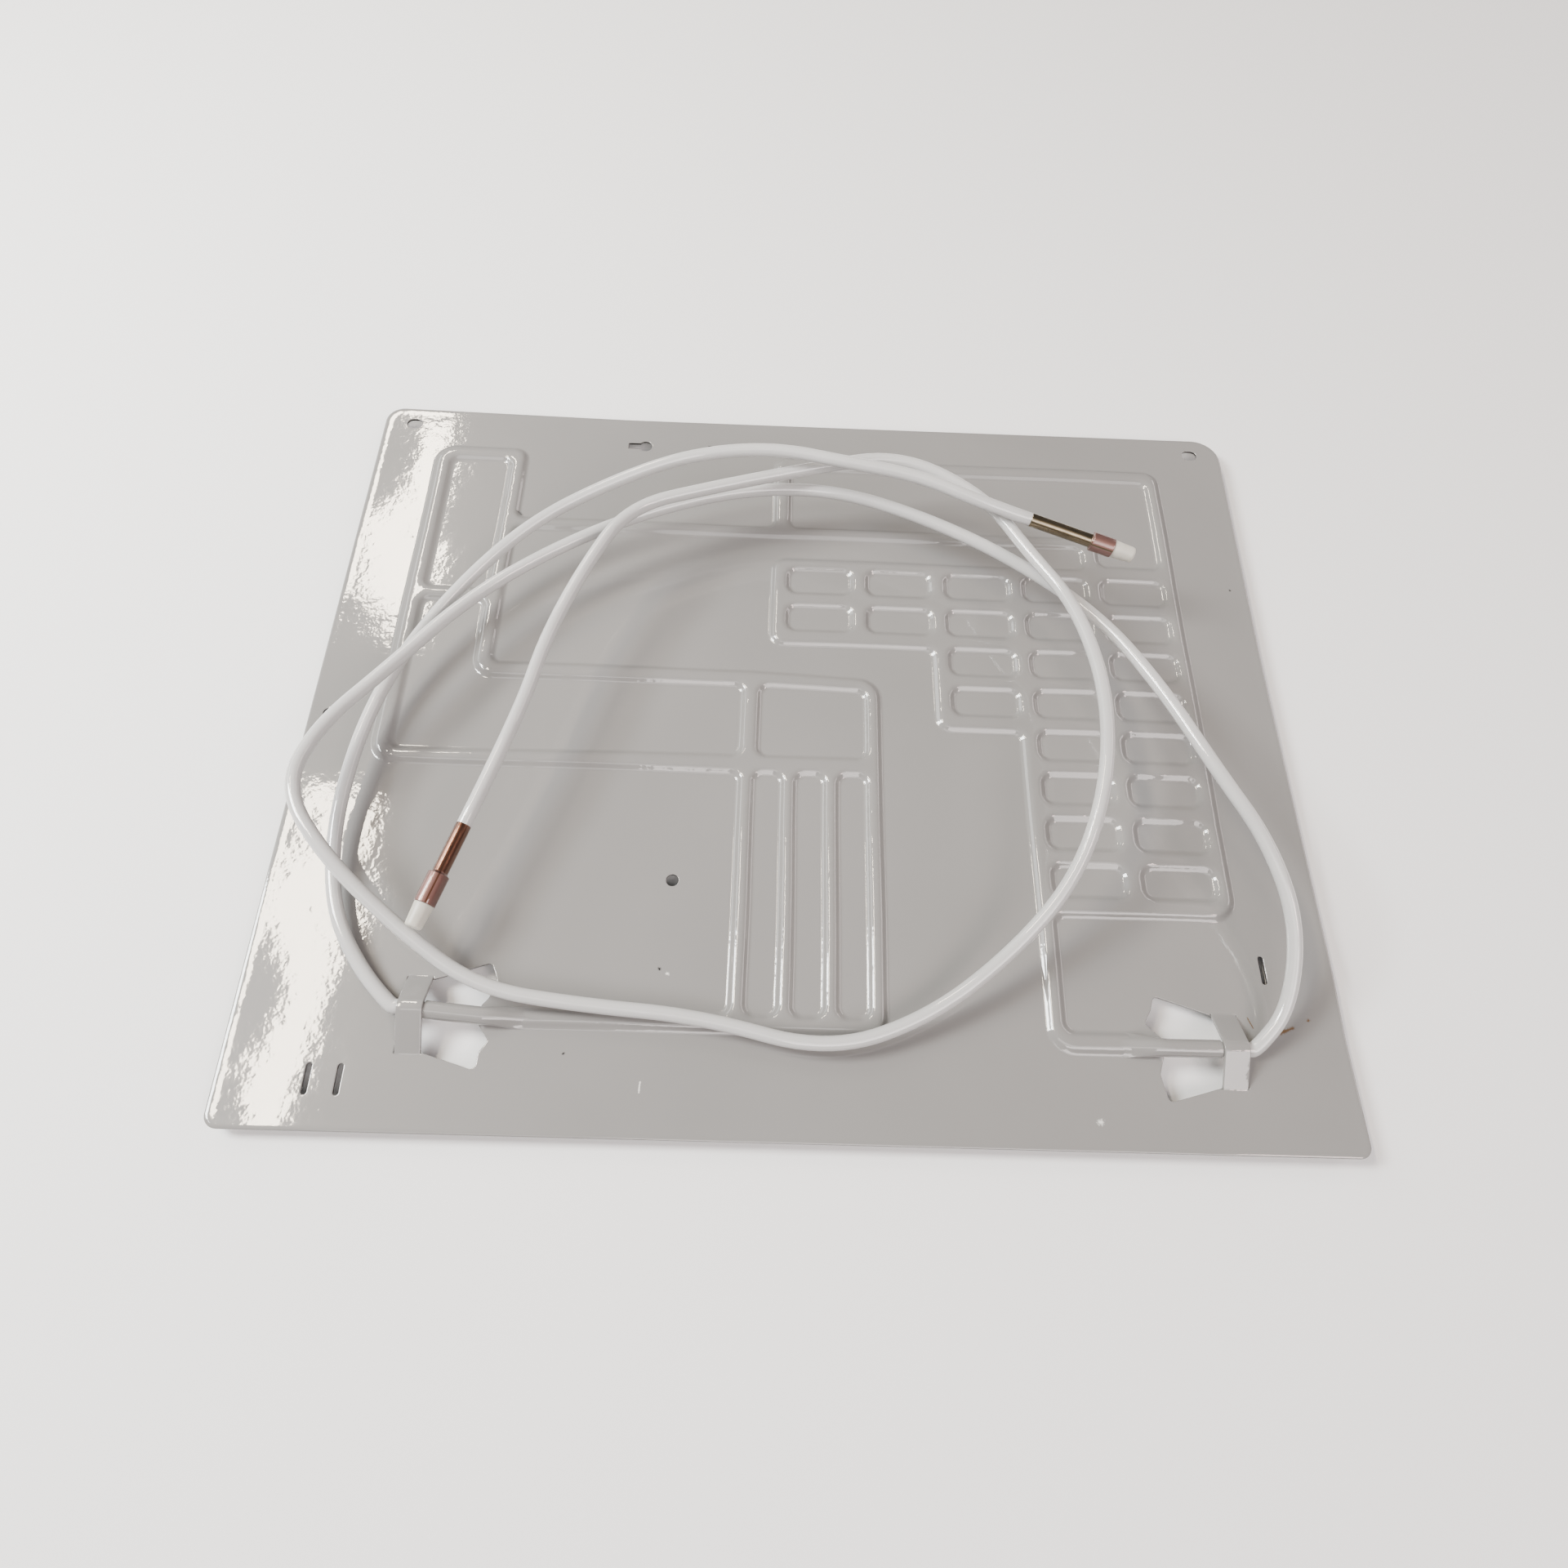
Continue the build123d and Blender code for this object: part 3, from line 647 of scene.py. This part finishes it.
# Tubes: soft aluminium pipe, bent by hand and painted white with the plate. The inlet tube goes half
# round the loop, and the outlet tube makes a full loop over it.
inlet_route = [
    (-137.5, -139.4, tube_z), (-158.5, -137.7, tube_z), (-161.5, -137.5, tube_z), (-175.5, -123.5, 6.5),
    (-189, -103, 9), (-196, -76, 10), (-197, -45, 12), (-192.5, -10, 14), (-181, 23, 16.5),
    (-159, 57.5, 22), (-131, 88, 28), (-96, 107.5, 35), (-58, 120.5, 42.5), (-18, 121.5, 48.5),
    (19, 111, 51.5), (52, 104.5, 51.5), (79, 91.5, 50.5), (102.3, 85.5, 47),
]
outlet_route = [
    (159.5, -145.3, tube_z), (180.5, -145.0, tube_z), (184.5, -144.9, tube_z), (197.5, -129.5, 12),
    (199.5, -98.5, 27), (188.5, -67.5, 37), (172.5, -37.5, 38.5), (155.5, 3, 37), (135, 44, 31),
    (97, 78.5, 28), (56, 101, 28), (14, 115.5, 28), (-30, 114, 28), (-75, 98.5, 28), (-116, 75, 28),
    (-153, 43.5, 28.5), (-181, 3.5, 30.5), (-204, -28, 32.5), (-210.5, -57.5, 34), (-188, -86.5, 31),
    (-158, -111, 19), (-127, -131, 11), (-86, -136, 9), (-38, -139, 8), (12, -151.5, 8),
    (53, -137, 10), (88, -110, 19), (112, -82, 31), (124, -46, 43), (127.5, -3, 46), (119.5, 42, 43),
    (102, 71, 41), (84, 104.5, 40), (44, 130, 39), (0, 119, 38), (-46, 104, 39), (-84, 90, 39.5),
    (-101, 55, 38), (-114, 18, 36), (-121, -20, 33.5), (-137.2, -69.2, 29.5),
]
tube_sides = 28
# The paint ends in a soft edge, as (distance past the pipe's end, how much smaller its radius is).
paint_edge = np.array([(0.05, 0.02), (0.2, 0.12), (0.3, 0.4), (0.3, tube_radius)])


def smooth_line(route):
    """Points along the NURBS spline that has the route's points as its control points."""
    curve = bpy.data.curves.new("route", "CURVE")
    curve.dimensions = "3D"
    curve.resolution_u = 10
    spline = curve.splines.new("NURBS")
    spline.points.add(len(route) - 1)
    spline.points.foreach_set("co", np.column_stack([route, np.ones(len(route))]).ravel())
    spline.order_u = 3
    spline.use_endpoint_u = True
    holder = bpy.data.objects.new("route", curve)
    bpy.context.scene.collection.objects.link(holder)
    line = bpy.data.meshes.new_from_object(holder.evaluated_get(bpy.context.evaluated_depsgraph_get()))
    points = np.empty(len(line.vertices) * 3)
    line.vertices.foreach_get("co", points)
    bpy.data.objects.remove(holder)
    bpy.data.meshes.remove(line)
    return points.reshape(-1, 3)


def crosswise(heading):
    """Two directions square to a heading: it crossed with the vertical, and that crossed back."""
    across = unit(np.cross(heading, (0, 0, 1)))
    return across, np.cross(across, heading)


def pipe(line):
    """Round bar along a line: at each point a circle across the line's direction, closed at both ends
    by a ring of no size."""
    heading = unit(np.gradient(line, axis=0))
    edge = line[-1:] + heading[-1] * paint_edge[:, :1]
    line = np.concatenate([line[:1], line, edge])
    heading = np.concatenate([heading[:1], heading, heading[-1:].repeat(len(edge), axis=0)])
    size = np.full(len(line), tube_radius)
    size[0], size[-len(edge):] = 0, tube_radius - paint_edge[:, 1]
    across, up = crosswise(heading)
    turn = np.linspace(0, 2 * np.pi, tube_sides, endpoint=False)[:, None]
    ring = np.cos(turn) * across[:, None] + np.sin(turn) * up[:, None]
    points = line[:, None] + ring * size[:, None, None]
    return points.reshape(-1, 3), grid_faces(len(line), tube_sides)


tube_paint, *_ = paint("white_tube_paint", 0.04, 1.7, 30.0, (0.48, 0.475, 0.468, 1),
                       (0.56, 0.555, 0.547, 1), {"Peel": 0.01, "Ripple": 0.04})
inlet_line, outlet_line = smooth_line(inlet_route), smooth_line(outlet_route)
made("inlet_pipe", [pipe(inlet_line)], tube_paint, "inlet_tube")
made("outlet_pipe", [pipe(outlet_line)], tube_paint, "outlet_tube")

# Copper ends: a short copper pipe is joined to each aluminium one, and its far end is swaged out into a
# socket for the refrigerator's own pipe.
copper_bore, copper_radius = 2.375, 3.175
socket_wall, socket_sides = 0.7, 48
inlet_swage, inlet_mouth, inlet_socket = 29.5, 40.2, 4.45
outlet_swage, outlet_mouth, outlet_socket = 21.4, 34.9, 4.35
fitting_radii = [0.1, 0.25, 0.5, 0.45, 0.22, 0.15, 0.3, 0.3]


def fitting(socket, swage, flare, drop, mouth):
    """Corners of a pipe with a socket, as (radius, height): it widens over the flare from the swage's
    height, and the inner side does so a drop higher."""
    inner = socket - socket_wall
    return [(copper_bore, 0), (copper_radius, 0), (copper_radius, swage), (socket, swage + flare),
            (socket, mouth), (inner, mouth), (inner, swage + flare + drop), (copper_bore, swage + drop)]


def turned(corners, radii, line):
    """Closed profile of (radius, height) corners, rounded and carried round the last direction of a
    line, with its UV map: the height in metres and the turn."""
    profile = rounded([(*corner, radius) for corner, radius in zip(corners, radii)], 5, 4)
    heading = unit(line[-1] - line[-2])
    across, up = crosswise(heading)
    turn = np.linspace(0, 2 * np.pi, socket_sides + 1)[:, None]
    ring = np.cos(turn) * across + np.sin(turn) * up
    profile = np.concatenate([profile, profile[:1]])
    points = line[-1] + profile[:, None, 1:] * heading + profile[:, None, :1] * ring
    uv = np.stack(np.broadcast_arrays(profile[:, 1:] * millimetre, turn.T / (2 * np.pi)), axis=-1)
    faces = grid_faces(len(profile), socket_sides + 1, closed=False)
    return (points.reshape(-1, 3), faces), uv.reshape(-1, 2)


def copper(name, dark, light, collar, swage, line_at):
    """Tarnished drawn pipe, and a swaged collar that is duller and pinker, with one dark line along it
    at the given turn."""
    material, tree, shader, where = finish_of(
        name, {"Metallic": 1.0, "Coat Weight": 1.0, "Coat Roughness": 0.08})
    along_and_round = place(tree, "ShaderNodeUVMap", uv_map="along_and_round").outputs["UV"]
    along, around, _ = place(tree, "ShaderNodeSeparateXYZ", {"Vector": along_and_round}).outputs
    drawn = place(tree, "ShaderNodeMapping", {"Vector": along_and_round, "Scale": (60, 30, 1)})
    streaks = noise(tree, drawn.outputs[0], 1.0, 4.0)
    stain = noise(tree, where, 260.0, 3.0)
    tarnish = ramp(tree, stain, 0.45, 0.75, to_high=0.6)
    pipe_tone = blended(tree, tarnish, blended(tree, streaks, dark, light), dark)
    collar_tone = blended(tree, number(tree, "COMPARE", around, line_at, 0.012), collar, dark)
    on_collar = ramp(tree, along, (swage - 0.6) * millimetre, (swage + 0.4) * millimetre)
    tree.links.new(blended(tree, on_collar, pipe_tone, collar_tone), shader.inputs["Base Color"])
    polish = ramp(tree, stain, 0.0, 1.0, 0.22, 0.38)
    rough = place(tree, "ShaderNodeMix", {"Factor": on_collar, "A": polish, "B": 0.55})
    tree.links.new(rough.outputs[0], shader.inputs["Roughness"])
    bumped(tree, shader, streaks, 0.01 * millimetre)
    return material


inlet_copper = copper("brown_copper", (0.11, 0.085, 0.048, 1), (0.26, 0.205, 0.12, 1), (0.24, 0.13, 0.11, 1),
                      inlet_swage, 0.075)
outlet_copper = copper("bright_copper", (0.09, 0.038, 0.022, 1), (0.26, 0.12, 0.075, 1),
                       (0.19, 0.10, 0.085, 1), outlet_swage, 0.314)
patch, uv = turned(fitting(inlet_socket, inlet_swage, 0.5, 0.4, inlet_mouth), fitting_radii, inlet_line)
made("inlet_fitting", [patch], inlet_copper, "inlet_copper_end", uv=uv)
patch, uv = turned(fitting(outlet_socket, outlet_swage, 0.85, 0.35, outlet_mouth), fitting_radii, outlet_line)
made("outlet_fitting", [patch], outlet_copper, "outlet_copper_end", uv=uv)

# Plugs: stoppers of soft milky plastic, with a round end inside and a slightly tapered head. They are
# pushed into the sockets to keep the evaporator dry in transport, and hold by their own grip.
plug_depth, plug_clearance, plug_chamfer, plug_crown = 8.0, 0.05, 0.7, 0.2
plug_axis = 0.01
plug_radii = [0.005, 0.3, 0.3, 0.05, 0.3, 1.1, 0.005]


def stopper(socket, mouth, head_radius, end_radius, head_length):
    """Corners of a plug, as (radius, height): it fills the socket up to the mouth, where its head starts."""
    body, low, end = socket - socket_wall - plug_clearance, mouth - plug_depth, mouth + head_length
    return [(plug_axis, low), (body - plug_chamfer, low), (body, low + plug_chamfer), (body, mouth),
            (head_radius, mouth), (end_radius, end), (plug_axis, end + plug_crown)]


plug_plastic, tree, shader, where = finish_of("milky_plug_plastic", {
    "Roughness": 0.38, "Subsurface Weight": 0.6, "Subsurface Radius": (0.004, 0.004, 0.0035)})
cloudy = noise(tree, where, 180.0, 2.0)
milk = blended(tree, cloudy, (0.50, 0.48, 0.42, 1), (0.62, 0.60, 0.53, 1))
tree.links.new(milk, shader.inputs["Base Color"])
bumped(tree, shader, cloudy, 0.05 * millimetre, strength=0.6)
patch, uv = turned(stopper(inlet_socket, inlet_mouth, 4.0, 3.55, 10.3), plug_radii, inlet_line)
made("inlet_stopper", [patch], plug_plastic, "inlet_plug", uv=uv)
patch, uv = turned(stopper(outlet_socket, outlet_mouth, 3.95, 3.45, 10.0), plug_radii, outlet_line)
made("outlet_stopper", [patch], plug_plastic, "outlet_plug", uv=uv)

# Floor and light: a plain pale floor a little under the plate. The warm window at the far left is two
# panes. Lamps and pale walls at the left, the right, the front and the near side give the soft light.
floor_half, floor_z = 4, -0.006
floor_mesh = bpy.data.meshes.new("floor")
floor_corners = [(x * floor_half, y * floor_half, floor_z) for x, y in ((-1, -1), (1, -1), (1, 1), (-1, 1))]
floor_mesh.from_pydata(floor_corners, [], [(0, 1, 2, 3)])
floor = bpy.data.objects.new("floor", floor_mesh)
bpy.context.scene.collection.objects.link(floor)
pale_floor, *_ = finish_of("pale_floor", {"Base Color": (0.92, 0.92, 0.92, 1), "Roughness": 0.9})
floor_mesh.materials.append(pale_floor)
# Each light, as (name, place, turn, size, power, colour).
lights = [
    ("window_far", (-0.865, 1.39, 1.5), (0, -0.53, 0), (0.10, 0.62), 13, (1.0, 0.88, 0.71)),
    ("window_near", (-0.875, 0.3, 1.5), (0, -0.53, 0), (0.11, 0.66), 15, (1.0, 0.88, 0.71)),
    ("left_lamp", (-0.95, 0.1, 0.9), (0, -0.81, 0), (0.38, 0.38), 28, (0.98, 1.0, 0.99)),
    ("left_wall", (-1.9, 1.3, 1.1), (0, -1.05, 0), (0.5, 2.4), 20, (0.98, 1.0, 0.99)),
    ("right_wall", (1.9, 1.2, 1.1), (0, 1.05, 0), (0.5, 2.2), 16, (1.0, 0.88, 0.86)),
    ("right_lamp", (1.1, -0.7, 1.5), (0.35, 0.6, 0), (0.35, 0.35), 7, (1.0, 0.78, 0.74)),
    ("front_wall", (0.0, -1.0, 1.9), (0.48, 0, 0), (2.0, 0.5), 10, (1.0, 0.955, 0.93)),
    ("near_wall", (0.8, -1.9, 1.9), (0.785, 0, 0.2), (2.4, 1.0), 62, (1.0, 0.92, 0.90)),
]
for name, at, turned_by, size, power, colour in lights:
    lamp = bpy.data.lights.new(name, "AREA")
    lamp.shape = "RECTANGLE"
    lamp.size, lamp.size_y = size
    lamp.energy = power
    lamp.color = colour
    holder = bpy.data.objects.new(name, lamp)
    holder.location = at
    holder.rotation_euler = turned_by
    bpy.context.scene.collection.objects.link(holder)
world = bpy.data.worlds.new("studio")
world.use_nodes = True
air = world.node_tree.nodes["Background"]
air.inputs["Color"].default_value = (0.93, 0.95, 1.0, 1)
air.inputs["Strength"].default_value = 0.16
bpy.context.scene.world = world
